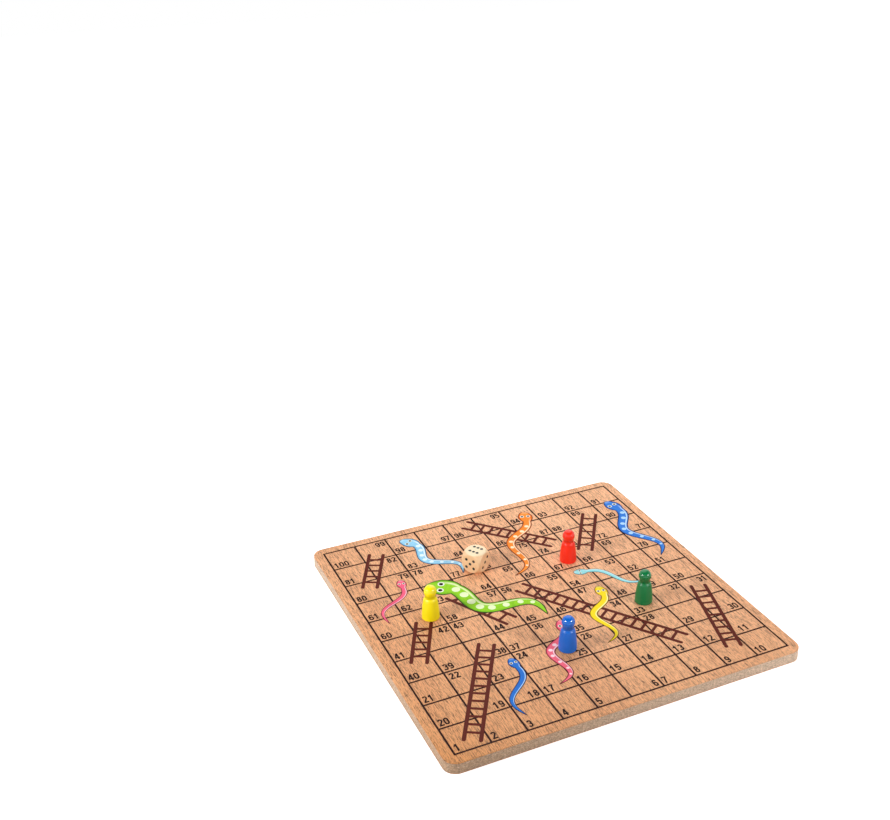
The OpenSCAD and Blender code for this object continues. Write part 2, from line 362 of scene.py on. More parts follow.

# %% [markdown]
# ## Fibreboard edge
# The edge of the board shows its core: pressed wood fibre, sawn, rounded over and sealed.
# Fibres lie flat in the sheet, so the speckle is longer along the edge than it is high.
# The middle of the sheet is pressed less hard and is paler, and painted light pales the
# colour away from the board's near left corner.

# %% Fibreboard
MID_THICKNESS = WOOD_TOP / MM / 2
fibreboard = Finish("fibreboard", gloss=0.2)
core_point = fibreboard.millimetres()
core_x, core_y, core_z = fibreboard.axes(core_point)
speckle = fibreboard.noise(core_point, 1.2, 1.2, 0.8, detail=3.0, rough=0.7)
chips = fibreboard.noise(core_point, 1.8, 1.8, 0.9)
clouds = fibreboard.noise(core_point, 11, 11, 5)
saw_marks = fibreboard.noise(core_point, 0.5, 0.5, 14, detail=1.0)
heart = 1 - fibreboard.ease(abs(core_z - MID_THICKNESS), 0.4, 3.2)
# Painted light: the edge's colour pales away from the board's near left corner.
core_colour_and_painted_light = fibreboard.blend((core_x + core_y) / (2 * BOARD_HALF) + 1,
                               shade(177, 144, 116), shade(213, 185, 161))
core_colour_and_painted_light = fibreboard.blend(fibreboard.ease(chips, 0.52, 0.72) * 0.45, core_colour_and_painted_light,
                               shade(214, 192, 168))
core_level = (0.95 + heart * 0.05 + (speckle - 0.5) * 2.20 + (saw_marks - 0.5) * 0.40
              + (clouds - 0.5) * 0.16)
fibreboard.set(base_color=fibreboard.tint(core_colour_and_painted_light, core_level),
               roughness=0.62 + speckle * 0.12,
               normal=fibreboard.relief(speckle * 0.7 + saw_marks * 0.3, 0.00006))
dress("board_core", fibreboard)

# %% [markdown]
# ## Printed lines and ladders
# The lines are dark brown ink and the ladders maroon ink, screen printed on the veneer.
# Ink isn't opaque everywhere: over a fleck or an open pore the film is thin. So the ink's
# recipe is a flat colour with a soft mottle, through which a little of the grain shows.

# %% Inks for the grid and the ladders
BARE_BEECH = shade(196, 130, 88)


def lay_ink(finish, colour, shows, rough, spread=0.12):
    """Ink on beech: the colour mottled, with the grain showing through by a share."""
    point = finish.millimetres()
    grain = beech_grain(finish, point)
    mottle = finish.noise(point, 1.1, 1.1, 1.1, detail=3.0, rough=0.6)
    through = finish.ease(grain["fibres"] + grain["flecks"] * 0.25, 0.55, 0.95) * shows
    film = finish.blend(through, finish.tint(colour, 0.86 + mottle * 0.28), BARE_BEECH)
    finish.set(base_color=film, roughness=rough + mottle * spread,
               normal=finish.relief(mottle, 0.00001))
    return finish


def plain_ink(name, colour, shows):
    """The ink of lines, numbers and eyes."""
    return lay_ink(Finish(name, gloss=0.12), colour, shows, 0.52, 0.14)


brown_ink = plain_ink("brown_ink", shade(40, 12, 7), 0.04)
maroon_ink = plain_ink("maroon_ink", shade(90, 31, 20), 0.06)
dress("grid_print", brown_ink)
ladders = sorted(name for name in nodes if name.startswith("ladder_"))
for ladder in ladders:
    dress(ladder, maroon_ink)

# %% [markdown]
# ## Growing pieces by rule
# Several prints follow a rule, so Geometry Nodes make them. Each rule is a node group with
# named inputs: `new_rule` opens one and `close_rule` ends it. A print is drawn flat, and
# `raise_film` gives it its thickness.

# %% Rules
import bmesh

KINDS = {"length": "Float", "number": "Float", "count": "Int", "point": "Vector",
         "finish": "Material", "shape": "Geometry", "shapes": "Collection"}


def new_rule(name, **inputs):
    """An empty Geometry Nodes group. Hands back its recipe and its inputs as terms."""
    tree = bpy.data.node_groups.new(name, "GeometryNodeTree")
    tree.interface.new_socket("Geometry", in_out="OUTPUT", socket_type="NodeSocketGeometry")
    for label, kind in inputs.items():
        tree.interface.new_socket(label, in_out="INPUT",
                                  socket_type="NodeSocket" + KINDS[kind])
    recipe = Recipe(tree)
    group = tree.nodes.new("NodeGroupInput")
    return recipe, {label: Term(recipe, group.outputs[label]) for label in inputs}


def close_rule(recipe, shape, finish):
    """End a rule: real geometry, with its material."""
    real = recipe.node("GeometryNodeRealizeInstances", sockets={0: shape})
    inked = recipe.node("GeometryNodeSetMaterial", {}, {0: real, "Material": finish})
    group = recipe.tree.nodes.new("NodeGroupOutput")
    recipe.feed(group.inputs[0], inked)
    return recipe.tree


SAME_PLACE = 0.001 * MM


def raise_film(recipe, flat, thickness):
    """Give a flat print its thickness, as one closed shell."""
    raised = recipe.node("GeometryNodeExtrudeMesh", {}, {
        "Mesh": flat, "Offset": recipe.point(z=thickness), "Individual": False})
    base = recipe.node("GeometryNodeFlipFaces", sockets={0: flat})
    both = recipe.node("GeometryNodeJoinGeometry", sockets={0: raised})
    recipe.tree.links.new(base.socket, both.socket.node.inputs[0])
    return recipe.node("GeometryNodeMergeByDistance", {}, {0: both, "Distance": SAME_PLACE})


print("a rule's inputs can be", sorted(KINDS))

# %% [markdown]
# ## Running a rule
# A rule hangs on an object as a modifier, with its sizes set by the sockets' identifiers.
# What it makes is kept as a plain mesh, as the export and the joints want one.

# %% Growing a piece
def plain_mesh(name, shape):
    """Turn a finished bmesh into a mesh."""
    mesh = bpy.data.meshes.new(name)
    shape.to_mesh(mesh)
    shape.free()
    return mesh


def grow(name, rule, start=None, **values):
    """Run a rule and keep its result as a plain mesh with all faces outwards."""
    thing = add_to_scene(name, start or bpy.data.meshes.new(name))
    modifier = thing.modifiers.new("rule", "NODES")
    modifier.node_group = rule
    for item in rule.interface.items_tree:
        if item.in_out == "INPUT" and item.name in values:
            modifier[item.identifier] = values[item.name]
    bpy.context.view_layer.update()
    graph = bpy.context.evaluated_depsgraph_get()
    mesh = bpy.data.meshes.new_from_object(thing.evaluated_get(graph), depsgraph=graph,
                                           preserve_all_data_layers=True)
    thing.modifiers.clear()
    thing.data = mesh
    mesh.name = name
    shell = bmesh.new()
    shell.from_mesh(mesh)
    bmesh.ops.recalc_face_normals(shell, faces=shell.faces)
    shell.to_mesh(mesh)
    shell.free()
    print("grew", name, "with", len(mesh.polygons), "faces")
    return thing


print("pieces grow into the collection", scene.collection.name)

# %% [markdown]
# ## The snakes' rule
# A printed snake is a ribbon along a wavy middle line: an oval head, a narrow neck, and a
# body that swells and then tapers to a point. The waves grow from nothing at the nose, so
# the head lies straight. The class below writes that rule once. Its sums work on plain
# numbers, to place an eye, and on terms, to build the ribbon in Geometry Nodes.

# %% The rule of a snake
import math


def either(operation, plain, value, *others):
    """A function as a Math node where the value is a term, or else in plain Python."""
    if isinstance(value, Term):
        return value.recipe.math(operation, value, *others)
    return plain(value, *others)


HEAD_LONG = 1.45
NECK = 0.62
SWELL = 0.34


class SnakeRule:
    """Middle line and width of a snake, at a share s of the way from nose to tail."""

    def __init__(self, nose_x, nose_y, tip_x, tip_y, body, head, swing, waves):
        self.nose_x, self.nose_y = nose_x, nose_y
        self.long_x, self.long_y = tip_x - nose_x, tip_y - nose_y
        self.length = (self.long_x * self.long_x + self.long_y * self.long_y) ** 0.5
        self.body, self.head = body, head
        self.swing, self.waves = swing, waves
        self.head_mid = HEAD_LONG * head / self.length / 2

    def sway(self, s):
        """Sideways distance of the middle line, and its slope."""
        angle = self.waves * (2 * math.pi) * s
        sine = either("SINE", math.sin, angle)
        cosine = either("COSINE", math.cos, angle)
        reach = 1 - (1 - s) ** 3
        slope = 3 * (1 - s) ** 2 * sine + reach * (self.waves * (2 * math.pi)) * cosine
        return self.swing * reach * sine, self.swing * slope

    def middle(self, s):
        off, _ = self.sway(s)
        x = self.nose_x + s * self.long_x - off * self.long_y / self.length
        y = self.nose_y + s * self.long_y + off * self.long_x / self.length
        return x, y

    def tangent(self, s):
        """Direction along the snake, as long as it moves on for a whole share."""
        _, slope = self.sway(s)
        x = self.long_x - slope * self.long_y / self.length
        y = self.long_y + slope * self.long_x / self.length
        return x, y, (x * x + y * y) ** 0.5

    def half(self, s):
        off = (s - self.head_mid) / self.head_mid
        head = self.head / 2 * either("MAXIMUM", max, 1 - off * off, 0.0) ** 0.5
        swell_angle = either("MINIMUM", min, s / SWELL, 1.0) * (math.pi / 2)
        swell = NECK + (1 - NECK) * either("SINE", math.sin, swell_angle)
        taper = either("MAXIMUM", max, 1 - s ** 3, 0.0) ** 0.7
        filled = either("MINIMUM", min, s / self.head_mid, 1.0)
        body = filled * self.body / 2 * swell * taper
        return (head * head + body * body) ** 0.5

    def beside(self, s, off):
        """A point a distance off the middle line."""
        x, y = self.middle(s)
        along_x, along_y, speed = self.tangent(s)
        return x - off * along_y / speed, y + off * along_x / speed


print("a snake's head is", HEAD_LONG, "times as long as it is wide")

# %% [markdown]
# ## Snake ribbons
# A ribbon starts as a flat grid, long along the snake and twelve strips wide, with its
# stations crowded towards the nose. The rule moves every point of it, and the strip is
# then raised into a film a hair less thick than the ink, so that no two faces coincide.
# Each point keeps four numbers for the ink's recipe: its share of the way along, its way
# in millimetres, its share of the way to an edge, and the snake's half width there.

# %% Ribbon tree
MEASURES = ("Nose X", "Nose Y", "Tip X", "Tip Y", "Body Width", "Head Width", "Swing", "Waves")
NOSE_CROWDING = 1.5


def ribbon_rule():
    recipe, given = new_rule("snake_ribbon", **dict.fromkeys(MEASURES, "number"), **{
        "Stations": "count", "Strips": "count", "Underside": "length", "Film": "length",
        "Ink": "finish"})
    shape = recipe.node("GeometryNodeMeshGrid", {},
                        {"Size X": 1.0, "Size Y": 2.0,
                         "Vertices X": given["Stations"], "Vertices Y": given["Strips"]})
    grid_x, across, _ = recipe.axes(recipe.node("GeometryNodeInputPosition"))
    s = (grid_x + 0.5) ** NOSE_CROWDING
    snake = SnakeRule(*(given[measure] for measure in MEASURES))
    half = snake.half(s)
    x, y = snake.beside(s, across * half)
    _, _, speed = snake.tangent(s)
    notes = {"along": s, "across": across, "half": half / MM, "travel": s * speed / MM}
    for label, value in notes.items():
        shape = recipe.node("GeometryNodeStoreNamedAttribute", {"data_type": "FLOAT"},
                            {"Geometry": shape, "Name": label, "Value": value})
    flat = recipe.node("GeometryNodeSetPosition", sockets={
        "Geometry": shape, "Position": recipe.point(x, y, given["Underside"])})
    return close_rule(recipe, raise_film(recipe, flat, given["Film"]), given["Ink"])


snake_ribbon = ribbon_rule()
print("ribbon rule has", len(snake_ribbon.nodes), "nodes")

# %% [markdown]
# ## Snake inks
# Each snake is airbrushed in one colour: deep along its edges, bright along its back, with a
# thin pale light on one side, a fine net of scales, and a dark line all round that holds
# the shape. All of it follows the ribbon's own numbers, so it bends with the snake.

# %% Snake inks
def snake_finish(name, deep, bright, shine, line, line_mm, scale_mm):
    finish = Finish(name, gloss=0.08)
    along, across, half, travel = (
        finish.node("ShaderNodeAttribute", {"attribute_name": note}, output="Fac")
        for note in ("along", "across", "half", "travel"))
    to_side = half * (1 - abs(across))
    to_end = finish.math("MINIMUM", to_side, travel)
    outline = 1 - finish.ease(to_end, line_mm * 0.75, line_mm * 1.15)
    roundness = (1 - across * across) ** 0.5
    body = finish.blend(finish.ease(roundness, 0.30, 0.95), deep, bright)
    net = finish.point(travel / scale_mm, across * half / scale_mm)
    cells = finish.node("ShaderNodeTexVoronoi",
                        {"voronoi_dimensions": "2D", "feature": "DISTANCE_TO_EDGE"},
                        {"Vector": net, "Scale": 1.0, "Randomness": 0.35})
    scales = 1 - finish.ease(cells, 0.02, 0.14)
    body = finish.blend(scales * 0.30 * finish.ease(along, 0.05, 0.12), body, deep)
    light = 1 - finish.ease(abs(across - 0.60), 0.05, 0.20)
    light = light * finish.ease(along, 0.09, 0.20) * (1 - finish.ease(along, 0.70, 0.95))
    body = finish.blend(light * 0.85, body, shine)
    crown = 1 - finish.ease(along, 0.0, 0.05)
    body = finish.blend(crown * 0.35 * finish.ease(roundness, 0.5, 0.9), body, shine)
    return lay_ink(finish, finish.blend(outline, body, line), 0.05, 0.50)


SNAKES = {
    "green": ((2.14, 7.02), (4.76, 4.16), 0.58, 0.64, 0.42, 1.5,
              (84, 160, 24), (150, 212, 44), (238, 250, 190), (30, 46, 12), 0.74),
    "sky": ((2.45, 9.75), (3.45, 7.15), 0.33, 0.40, 0.30, 1.5,
            (86, 168, 214), (158, 214, 242), (244, 252, 255), (34, 74, 112), 0.60),
    "royal": ((9.55, 9.05), (9.38, 5.42), 0.36, 0.43, 0.34, 1.5,
              (22, 78, 176), (58, 128, 220), (206, 234, 255), (12, 26, 74), 0.60),
    "orange": ((6.77, 9.62), (4.80, 6.35), 0.32, 0.41, 0.32, 1.5,
               (226, 88, 20), (250, 146, 56), (255, 240, 205), (104, 34, 12), 0.60),
    "rose": ((4.97, 3.76), (3.55, 1.25), 0.29, 0.37, 0.30, 1.5,
             (212, 52, 88), (246, 112, 132), (255, 226, 230), (96, 18, 40), 0.56),
    "yellow": ((6.78, 4.78), (5.60, 2.25), 0.25, 0.33, 0.30, 1.5,
               (222, 172, 14), (254, 226, 40), (255, 252, 190), (96, 66, 10), 0.52),
    "pink": ((1.62, 7.62), (0.54, 5.66), 0.18, 0.27, 0.30, 1.0,
             (208, 40, 84), (244, 104, 136), (255, 228, 236), (104, 16, 42), 0.42),
    "aqua": ((6.48, 5.76), (8.40, 4.50), 0.18, 0.27, 0.30, 1.0,
             (84, 186, 200), (158, 226, 230), (244, 255, 255), (24, 84, 96), 0.42),
    "navy": ((2.90, 2.80), (2.25, 0.50), 0.20, 0.28, 0.30, 1.0,
             (12, 56, 148), (44, 116, 208), (190, 226, 255), (8, 18, 58), 0.44),
}
HAIR = 0.004 * MM
snake_rules = {}
for colour, (*ends, body, head, sway, waves, deep, bright, shine, line, line_mm) in SNAKES.items():
    nose, tip = (on_board(*end) for end in ends)
    widths = (share * SQUARE for share in (body, head, sway))
    measures = (nose.x, nose.y, tip.x, tip.y, *widths, waves)
    ink = snake_finish(f"{colour}_snake_ink", shade(*deep), shade(*bright), shade(*shine),
                       shade(*line), line_mm, scale_mm=1.0 + 2.2 * body)
    ribbon = grow(f"snake_{colour}_ribbon", snake_ribbon, **dict(zip(MEASURES, measures)), **{
        "Stations": 177, "Strips": 13, "Underside": WOOD_TOP,
        "Film": FILM - HAIR, "Ink": ink.material})
    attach(ribbon, "board")
    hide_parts(f"snake_{colour}")
    snake_rules[colour] = SnakeRule(*measures)

# %% [markdown]
# ## Spots and eyes
# Five of the snakes carry a row of pale spots, and all have two eyes. Their pupils and
# spots are right as the CAD has them and only need ink. The white round each pupil is too
# small for the CAD, so a rule stamps a disc at each eye's place.

# %% Spots and eyes
def disc_rule():
    recipe, given = new_rule("stamped_disc", **{
        "Places": "shape", "Film": "length", "Ink": "finish"})
    disc = recipe.node("GeometryNodeMeshCircle", {"fill_type": "NGON"},
                       {"Vertices": 24, "Radius": 1.0})
    size = recipe.node("GeometryNodeInputNamedAttribute", {"data_type": "FLOAT"},
                       {"Name": "size"})
    stamped = recipe.node("GeometryNodeInstanceOnPoints",
                          sockets={"Points": given["Places"], "Instance": disc,
                                   "Scale": size})
    real = recipe.node("GeometryNodeRealizeInstances", sockets={0: stamped})
    return close_rule(recipe, raise_film(recipe, real, given["Film"]), given["Ink"])


def marks(name, places, **notes):
    """A mesh of loose points, each with its own numbers."""
    mesh = bpy.data.meshes.new(name)
    mesh.from_pydata([tuple(place) for place in places], [], [])
    for label, values in notes.items():
        kind = "INT" if isinstance(values[0], int) else "FLOAT"
        note = mesh.attributes.new(label, kind, "POINT")
        note.data.foreach_set("value", values)
    return mesh


EYE_SIDE = 0.25
EYE_WHITE = 0.165
eye_places, eye_sizes = [], []
for snake in snake_rules.values():
    for side in (-1, 1):
        x, y = snake.beside(snake.head_mid, side * EYE_SIDE * snake.head)
        eye_places.append((x, y, WOOD_TOP))
        eye_sizes.append(snake.head * EYE_WHITE)
white_ink = plain_ink("white_ink", shade(236, 240, 226), 0.04)
black_ink = plain_ink("black_ink", shade(30, 22, 20), 0.04)
eye_whites = grow("snake_eye_whites", disc_rule(), marks("eyes", eye_places, size=eye_sizes),
                  Film=FILM - HAIR / 2, Ink=white_ink.material)
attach(eye_whites, "board")
dress("snake_eyes", black_ink)

SPOTS_WITHIN = 40
spot_ink = Finish("spot_ink", gloss=0.08)
spot_point = spot_ink.millimetres()
spot_colour = shade(232, 246, 196)
SPOT_TINTS = {"sky": (228, 246, 255), "royal": (176, 216, 250),
              "orange": (255, 236, 196), "rose": (255, 218, 224)}
for colour, seen in SPOT_TINTS.items():
    snake = snake_rules[colour]
    x, y = snake.middle(0.5)
    away = spot_ink.vector("DISTANCE", spot_point, (x / MM, y / MM, WOOD_TOP / MM),
                           output="Value")
    near = 1 - spot_ink.ease(away, SPOTS_WITHIN, SPOTS_WITHIN + 1)
    spot_colour = spot_ink.blend(near, spot_colour, shade(*seen))
dress("snake_spots", lay_ink(spot_ink, spot_colour, 0.05, 0.46))

# %% [markdown]
# ## The shapes of the digits
# The squares count from 1 at the near left to 100 at the far left, in a narrow bold face
# without feet. Ten digits are drawn as strokes of even weight along short paths, in shares
# of their height. `bend` also serves the pawns and the floor.

# %% Digits
WEIGHT = 0.17
WIDE = 0.54


def bend(middle_x, middle_y, reach_x, reach_y, start, stop, steps=4):
    """Points of part of an oval, from one angle in degrees to another."""
    angles = (math.radians(start + (stop - start) * i / steps) for i in range(steps + 1))
    return [(middle_x + reach_x * math.cos(angle), middle_y + reach_y * math.sin(angle))
            for angle in angles]


LEFT, RIGHT = WEIGHT / 2, WIDE - WEIGHT / 2
MID = WIDE / 2
ROUND = (RIGHT - LEFT) / 2
HIGH, LOW = 1 - WEIGHT / 2, WEIGHT / 2
UPPER, LOWER = HIGH - ROUND, LOW + ROUND


def arc(height, start, stop):
    """Part of a ring as wide as a digit."""
    return bend(MID, height, ROUND, ROUND, start, stop)


six_loop = arc(LOWER, 180, 360) + arc(0.39, 0, 180)
six_back = arc(UPPER, 20, 180) + [(LEFT, LOWER)]
DIGITS = {
    0: [(arc(UPPER, 0, 180) + arc(LOWER, 180, 360), True)],
    1: [([(0.28, 0.0), (0.28, 1.0)], False), ([(0.06, 0.70), (0.30, 0.93)], False)],
    2: [(arc(UPPER, 165, -20) + [(0.33, 0.47), (0.11, 0.12)], False),
        ([(0.02, LOW), (WIDE, LOW)], False)],
    3: [(arc(UPPER, 165, 0) + bend(0.25, 0.66, RIGHT - 0.25, 0.13, -10, -90), False),
        (bend(0.25, 0.37, RIGHT - 0.25, 0.16, 90, 10) + arc(LOWER, 0, -165), False)],
    4: [([(0.37, 0.0), (0.37, 1.0)], False), ([(0.33, 0.96), (0.07, 0.29)], False),
        ([(0.0, 0.27), (0.56, 0.27)], False)],
    5: [([(0.50, HIGH), (0.08, HIGH)], False), ([(0.11, 1.0), (0.10, 0.45)], False),
        (arc(0.40, 160, 0) + arc(LOWER, 0, -165), False)],
    6: [(six_loop, True), (six_back, False)],
    7: [([(0.0, HIGH), (0.52, HIGH)], False),
        ([(0.44, 0.93), (0.28, 0.50), (0.19, 0.0)], False)],
    8: [(bend(MID, 0.725, ROUND * 0.92, 0.18, 0, 345, 9), True),
        (bend(MID, 0.32, ROUND, 0.225, 0, 345, 9), True)],
    9: [([(WIDE - x, 1 - y) for x, y in six_loop], True),
        ([(WIDE - x, 1 - y) for x, y in six_back], False)],
}
print("strokes in each digit:", [len(DIGITS[digit]) for digit in range(10)])

# %% [markdown]
# ## From strokes to ink
# A stroke becomes a row of quads, mitred at its joints. The strokes of a digit overlap, so
# a triangulation of all of them together gives one clean outline, which then gets its
# thickness. The ten digits lie in a case until they are stamped.

# %% A case of digits
from mathutils.geometry import delaunay_2d_cdt


def stroke(path, closed):
    """Quads that give a path its weight, with mitred joints."""
    points = [Vector(point) for point in path]
    if closed and (points[0] - points[-1]).length < 0.0001:
        points.pop()
    count = len(points)
    sides = []
    for i, point in enumerate(points):
        before = points[i - 1] if closed or i else None
        after = points[(i + 1) % count] if closed or i < count - 1 else None
        normals = []
        for start, end in ((before, point), (point, after)):
            if start is not None and end is not None and (end - start).length > 0.0001:
                run = (end - start).normalized()
                normals.append(Vector((-run.y, run.x)))
        mitre = sum(normals, Vector((0, 0))).normalized()
        reach = WEIGHT / 2 / max(mitre.dot(normals[0]), 0.5)
        sides.append((point + mitre * reach, point - mitre * reach))
    pairs = list(zip(sides, sides[1:] + sides[:1]))
    return [(b[0], a[0], a[1], b[1]) for a, b in (pairs if closed else pairs[:-1])]


def digit_mesh(digit):
    """One digit, a unit high, as a closed film a unit thick."""
    points, faces = [], []
    for path, closed in DIGITS[digit]:
        for quad in stroke(path, closed):
            faces.append(list(range(len(points), len(points) + 4)))
            points.extend(quad)
    flat, _, triangles, _, _, sources = delaunay_2d_cdt(points, [], faces, 1, 0.0001)
    shape = bmesh.new()
    corners = [shape.verts.new((p.x, p.y, 0.0)) for p in flat]
    for triangle, strokes in zip(triangles, sources):
        if strokes:
            shape.faces.new([corners[i] for i in triangle])
    bmesh.ops.dissolve_limit(shape, angle_limit=0.01, verts=shape.verts, edges=shape.edges)
    bmesh.ops.delete(shape, geom=[v for v in shape.verts if not v.link_faces],
                     context="VERTS")
    base, rim = list(shape.faces), [edge for edge in shape.edges if edge.is_boundary]
    top = {v: shape.verts.new(v.co + Vector((0, 0, 1))) for v in list(shape.verts)}
    for face in base:
        shape.faces.new([top[v] for v in face.verts])
    for start, end in (edge.verts for edge in rim):
        shape.faces.new((start, end, top[end], top[start]))
    bmesh.ops.recalc_face_normals(shape, faces=shape.faces)
    return plain_mesh(f"digit_{digit}", shape)


digit_case = bpy.data.collections.new("digit_case")
scene.collection.children.link(digit_case)
for digit in range(10):
    letter = bpy.data.objects.new(f"digit_{digit}", digit_mesh(digit))
    digit_case.objects.link(letter)
    print("digit", digit, "has", len(letter.data.polygons), "faces")

# %% [markdown]
# ## Numbers in the squares
# A number sits in a corner of its square, most of them at the near left, and in another
# corner where a snake or a ladder takes that place. The table has a letter for each square,
# row by row: n for near, f for far, and a capital for the right. One point stands for each
# digit, and a rule stamps the digit that the point names.

# %% Numbers
CORNERS = [
    "nnnnnNnnnn", "nNNnnnnnnn", "nfnfNfnfnN", "nnNnfnFnFF", "nFfnnnfnnn",
    "nFnFfFnFnn", "nnnNFnnnfn", "nFfnnFnnnN", "nFnNnnNnfn", "nFnNnFnnnn",
]
DIGIT_HIGH = 0.262
DIGIT_WIDE = 0.135
DIGIT_STEP = 0.157
DIGIT_ASPECT = DIGIT_WIDE / (WIDE * DIGIT_HIGH)
IN_FROM_SIDE = 0.085
UP_FROM_LINE = 0.080
NUDGED = {11: 0.17, 28: 0.05, 38: 0.03, 46: -0.03, 72: 0.08}


def number_rule():
    recipe, given = new_rule("stamped_digits", **{
        "Places": "shape", "Digits": "shapes", "Height": "length", "Aspect": "number",
        "Film": "length", "Ink": "finish"})
    digits = recipe.node("GeometryNodeCollectionInfo", {},
                         {"Collection": given["Digits"], "Separate Children": True,
                          "Reset Children": True})
    which = recipe.node("GeometryNodeInputNamedAttribute", {"data_type": "INT"},
                        {"Name": "digit"})
    size = recipe.point(given["Height"] * given["Aspect"], given["Height"], given["Film"])
    stamped = recipe.node("GeometryNodeInstanceOnPoints",
                          sockets={"Points": given["Places"], "Instance": digits,
                                   "Pick Instance": True, "Instance Index": which,
                                   "Scale": size})
    return close_rule(recipe, stamped, given["Ink"])


digit_places, digit_names = [], []
for row, letters in enumerate(CORNERS):
    for column, corner in enumerate(letters):
        number = 10 * row + (column + 1 if row % 2 == 0 else 10 - column)
        text = str(number)
        wide = DIGIT_STEP * (len(text) - 1) + DIGIT_WIDE
        left = column + (1 - IN_FROM_SIDE - wide if corner.isupper() else IN_FROM_SIDE)
        left += NUDGED.get(number, 0.0)
        near = row + (UP_FROM_LINE if corner in "nN" else 1 - UP_FROM_LINE - DIGIT_HIGH)
        for i, character in enumerate(text):
            digit_places.append(on_board(left + i * DIGIT_STEP, near, WOOD_TOP))
            digit_names.append(int(character))
number_ink = plain_ink("number_ink", shade(34, 14, 10), 0.05)
numbers = grow("square_numbers", number_rule(),
               marks("number_places", digit_places, digit=digit_names),
               Digits=digit_case, Height=DIGIT_HIGH * SQUARE, Aspect=DIGIT_ASPECT,
               Film=FILM + HAIR, Ink=number_ink.material)
for letter in list(digit_case.objects):
    bpy.data.objects.remove(letter)
bpy.data.collections.remove(digit_case)
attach(numbers, "board")
print("stamped", len(digit_places), "digits")

# %% [markdown]
# ## Turning the pawns
# A pawn is turned: one outline swept round an axis, with a rounded foot, a slightly bulging
# side, a soft shoulder and a ball head. It is hollow from below, as mouldings are. The CAD
# has few facets, so a lathe rule sweeps the same outline in fine steps.

# %% Outline of a pawn
PAWN_HEIGHT = 25.0
PAWN_BASE = 12.0
PAWN_HEAD = 8.7
PAWN_NECK = 7.5
SHOULDER_WIDE = 9.2
SHOULDER_UP = 14.5
FOOT_ROUND = 0.8
SHOULDER_ROUND = 1.6
NECK_ROUND = 1.2
WALL = 1.6


def pawn_outline():
    """Radius and height, in millimetres, from the crown down and up into the core."""
    draw_in = (PAWN_BASE - SHOULDER_WIDE) / 2
    rise = SHOULDER_UP - FOOT_ROUND
    side_round = (rise ** 2 + draw_in ** 2) / (2 * draw_in)
    turn = math.asin(rise / side_round)
    shoulder_x = SHOULDER_WIDE / 2 - SHOULDER_ROUND * math.cos(turn)
    shoulder_y = SHOULDER_UP - SHOULDER_ROUND * math.sin(turn)
    both = SHOULDER_ROUND + NECK_ROUND
    crest = math.acos((PAWN_NECK / 2 + NECK_ROUND - shoulder_x) / both)
    neck_x = shoulder_x + both * math.cos(crest)
    neck_y = shoulder_y + both * math.sin(crest)
    head_y = PAWN_HEIGHT - PAWN_HEAD / 2
    chin = -math.acos(PAWN_NECK / PAWN_HEAD)
    turn, crest, chin = (math.degrees(angle) for angle in (turn, crest, chin))
    foot_x = PAWN_BASE / 2 - FOOT_ROUND
    core_deep = SHOULDER_UP - WALL
    path = bend(0, head_y, PAWN_HEAD / 2, PAWN_HEAD / 2, 90, chin, 36)
    path += bend(neck_x, neck_y, NECK_ROUND, NECK_ROUND, 180, 180 + crest, 10)
    path += bend(shoulder_x, shoulder_y, SHOULDER_ROUND, SHOULDER_ROUND, crest, turn, 12)
    path += bend(PAWN_BASE / 2 - side_round, FOOT_ROUND, side_round, side_round, turn, 0, 24)
    path += bend(foot_x, FOOT_ROUND, FOOT_ROUND, FOOT_ROUND, 0, -90, 8)
    path += [(PAWN_BASE / 2 - WALL, 0), (SHOULDER_WIDE / 2 - WALL, core_deep), (0, core_deep)]
    return path[:1] + [b for a, b in zip(path, path[1:]) if math.dist(a, b) > 0.001]


outline = pawn_outline()
print("the pawn's outline has", len(outline), "points")

# %% [markdown]
# ## The lathe rule
# The lathe takes the outline as loose points, and a grid: one way along the outline, the
# other way round the axis. Each grid point looks up its outline point and swings it round.
# The seam and the crown are then merged, so the skin is closed.

# %% Lathe
def lathe_rule():
    recipe, given = new_rule("lathe", **{
        "Outline": "shape", "Points": "count", "Steps Round": "count",
        "Axis": "point", "Plastic": "finish"})
    skin = recipe.node("GeometryNodeMeshGrid", {},
                       {"Size X": 1.0, "Size Y": 1.0,
                        "Vertices X": given["Points"], "Vertices Y": given["Steps Round"]})
    place = recipe.node("GeometryNodeInputPosition")
    grid_x, grid_y, _ = recipe.axes(place)
    which = recipe.math("ROUND", (grid_x + 0.5) * (given["Points"] - 1))
    angle = (grid_y + 0.5) * (2 * math.pi)
    found = recipe.node("GeometryNodeSampleIndex", {"data_type": "FLOAT_VECTOR"},
                        {"Geometry": given["Outline"], "Value": place, "Index": which})
    out, _, up = recipe.axes(found)
    turned = recipe.point(out * recipe.math("COSINE", angle),
                          out * recipe.math("SINE", angle), up)
    swept = recipe.node("GeometryNodeSetPosition", sockets={
        "Geometry": skin, "Position": recipe.vector("ADD", turned, given["Axis"])})
    closed = recipe.node("GeometryNodeMergeByDistance", {}, {0: swept,
                                                            "Distance": 2 * SAME_PLACE})
    smooth = recipe.node("GeometryNodeSetShadeSmooth", sockets={0: closed})
    return close_rule(recipe, smooth, given["Plastic"])


lathe = lathe_rule()
print("lathe rule has", len(lathe.nodes), "nodes")

# %% [markdown]
# ## Moulded plastic
# The pawns are polystyrene. A moulding is never quite one colour: the melt leaves faint
# flow lines, and a two-part mould leaves a hair of a seam up both sides. Handling rubs the
# body satin and the foot duller still, and only the head keeps the mould's polish, so that
# it alone shows small bright highlights. A painted shade darkens the colour under the chin.

# %% Pawns
PAWNS = {
    "yellow": ((1.69, 5.49), (255, 236, 2), 20),
    "red": ((6.65, 6.42), (255, 42, 16), 75),
    "green": ((7.57, 3.54), (0, 121, 64), -35),
    "blue": ((4.49, 2.51), (2, 106, 212), 130),
}
CHIN_UP = 17.5


